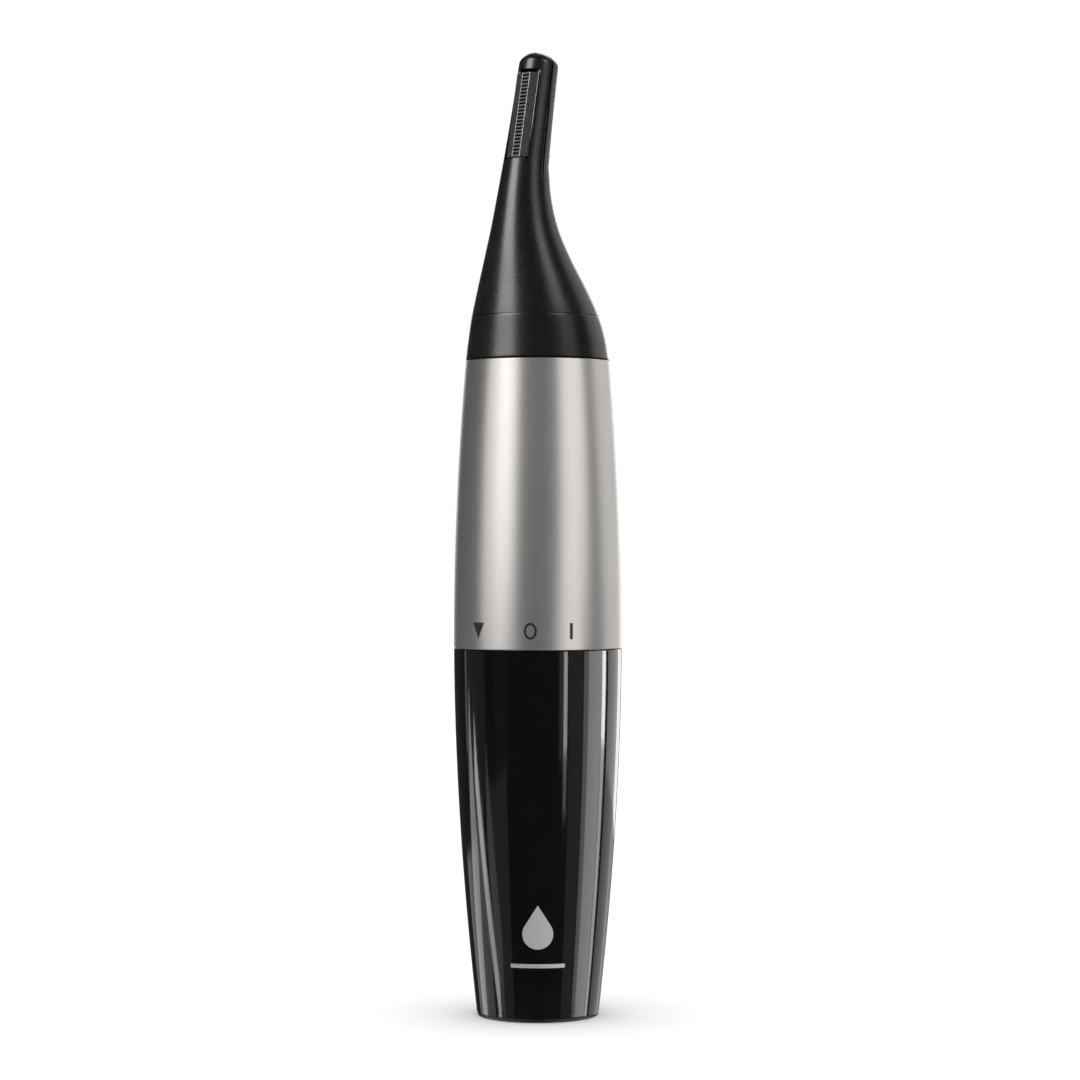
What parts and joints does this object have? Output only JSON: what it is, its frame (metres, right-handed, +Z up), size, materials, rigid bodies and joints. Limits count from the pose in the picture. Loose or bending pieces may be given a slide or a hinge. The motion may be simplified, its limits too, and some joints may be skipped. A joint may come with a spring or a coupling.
{
  "type": "nose hair trimmer",
  "caption": "Pen-shaped battery trimmer for nose, ear and brow hair, with a twist-switch battery cap, a metal barrel and a pull-off head with a slotted side blade.",
  "frame": {"origin": "centre of the flat base of the battery cap, on the surface the trimmer stands on", "axes": "+Z up along the body towards the head, -Y the side that the blade faces, +X to the right of the blade"},
  "size_m": [0.0254, 0.0254, 0.1455],
  "materials": {
    "cap_gloss": "high gloss",
    "emblem_print": "printed",
    "contact_brass": "rolled",
    "spring_steel": "drawn wire",
    "cell_steel": "nickel plated",
    "cell_wrap": "printed film",
    "barrel_satin": "satin",
    "mark_print": "printed",
    "chassis_plastic": "moulded",
    "seal_rubber": "moulded",
    "motor_steel": "zinc plated",
    "motor_cream": "moulded",
    "magnet": "sintered",
    "bronze": "sintered",
    "brush_copper": "stamped",
    "core_steel": "laminated",
    "copper_wire": "enamelled",
    "white_pom": "moulded",
    "seal_red": "moulded",
    "head_satin": "satin",
    "blade_steel": "etched",
    "pin_steel": "ground"
  },
  "bodies": {
    "handle": {"barrel_sleeve": "barrel_satin", "switch_marks": "mark_print", "battery_tube": "chassis_plastic", "barrel_collar": "chassis_plastic", "motor_cup": "chassis_plastic", "head_spigot": "chassis_plastic", "positive_contact": "contact_brass", "switch_contact": "contact_brass", "cap_o_ring": "seal_rubber", "head_o_ring": "seal_rubber", "motor_can": "motor_steel", "motor_end_cap": "motor_cream", "motor_magnets": "magnet", "motor_bearings": "bronze", "motor_brushes": "brush_copper", "motor_terminals": "contact_brass", "motor_screws": "pin_steel", "motor_damper": "seal_rubber", "seal_holder": "white_pom", "shaft_seal": "seal_red"},
    "rotor": {"rotor_core": "core_steel", "rotor_windings": "copper_wire", "commutator": "brush_copper", "motor_shaft": "pin_steel", "drive_coupler": "white_pom"},
    "cell": {"battery_can": "cell_steel", "battery_wrap": "cell_wrap", "battery_terminal": "cell_steel"},
    "cap": {"cap_shell": "cap_gloss", "cap_emblem": "emblem_print", "cap_contact_strip": "contact_brass", "cap_spring": "spring_steel"},
    "head": {"head_base": "head_satin", "head_shell": "head_satin", "spine_cover": "head_satin", "stationary_blade": "blade_steel", "cam_bushing": "bronze"},
    "cam": {"drive_cam": "white_pom"},
    "blade": {"moving_blade": "blade_steel", "blade_rod": "white_pom", "follower_pin": "pin_steel", "pressure_spring": "spring_steel"}
  },
  "joints": [
    {"name": "rotor_spin", "type": "hinge", "parent": "handle", "child": "rotor", "pos_m": [0, 0, 0.075], "axis": [0, 0, 1], "continuous": true},
    {"name": "cap_pull", "type": "slide", "parent": "handle", "child": "cell", "axis": [0, 0, 1], "range_m": [-0.06, 0]},
    {"name": "cap_twist", "type": "hinge", "parent": "cell", "child": "cap", "pos_m": [0, 0, 0.03], "axis": [0, 0, 1], "range_deg": [0, 67]},
    {"name": "head_pull", "type": "slide", "parent": "handle", "child": "head", "axis": [0, 0, 1], "range_m": [0, 0.02]},
    {"name": "cam_spin", "type": "hinge", "parent": "head", "child": "cam", "pos_m": [0, 0, 0.11], "axis": [0, 0, 1], "continuous": true},
    {"name": "blade_stroke", "type": "slide", "parent": "head", "child": "blade", "axis": [0, 0.2079, 0.9781], "range_m": [-0.0004, 0.0004]}
  ],
  "couplings": [
    {"joint": "cam_spin", "follows": "rotor_spin", "ratio": 1}
  ]
}
